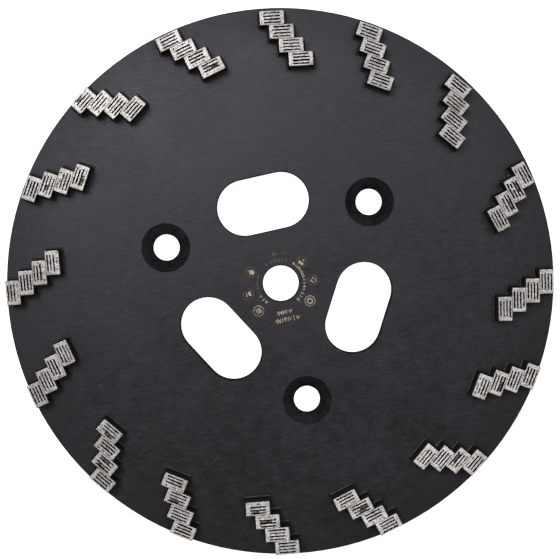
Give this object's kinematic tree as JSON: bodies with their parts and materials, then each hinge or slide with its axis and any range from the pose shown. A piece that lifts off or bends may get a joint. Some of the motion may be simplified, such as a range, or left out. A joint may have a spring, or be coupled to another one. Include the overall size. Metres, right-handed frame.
{
  "type": "diamond floor grinding disc",
  "caption": "Flat steel grinding disc with brazed staggered segment rows near its rim, a centre bore, countersunk screw holes and round-ended slots.",
  "frame": {"origin": "centre of the flat back face, on the axis of the centre bore", "axes": "+Z along the bore axis, out of the working side where the segments stand; +X and +Y lie in the disc, with one screw hole 42.7 degrees anticlockwise from +X"},
  "size_m": [0.25, 0.25, 0.0161],
  "materials": {
    "black_steel": "semi-gloss black coating over ground steel plate, fine grinding streaks",
    "sintered_segment": "bare ground sintered metal on top, grooved and pitted, with black coating on the sides",
    "coated_braze": "black coating over a lumpy brazing fillet"
  },
  "bodies": {
    "root": {"steel_body": "black_steel", "segment_row_01": "sintered_segment", "segment_row_02": "sintered_segment", "segment_row_03": "sintered_segment", "segment_row_04": "sintered_segment", "segment_row_05": "sintered_segment", "segment_row_06": "sintered_segment", "segment_row_07": "sintered_segment", "segment_row_08": "sintered_segment", "segment_row_09": "sintered_segment", "segment_row_10": "sintered_segment", "segment_row_11": "sintered_segment", "segment_row_12": "sintered_segment", "segment_row_13": "sintered_segment", "segment_row_14": "sintered_segment", "segment_row_15": "sintered_segment", "segment_row_16": "sintered_segment", "braze_fillet_01": "coated_braze", "braze_fillet_02": "coated_braze", "braze_fillet_03": "coated_braze", "braze_fillet_04": "coated_braze", "braze_fillet_05": "coated_braze", "braze_fillet_06": "coated_braze", "braze_fillet_07": "coated_braze", "braze_fillet_08": "coated_braze", "braze_fillet_09": "coated_braze", "braze_fillet_10": "coated_braze", "braze_fillet_11": "coated_braze", "braze_fillet_12": "coated_braze", "braze_fillet_13": "coated_braze", "braze_fillet_14": "coated_braze", "braze_fillet_15": "coated_braze", "braze_fillet_16": "coated_braze"}
  },
  "joints": []
}
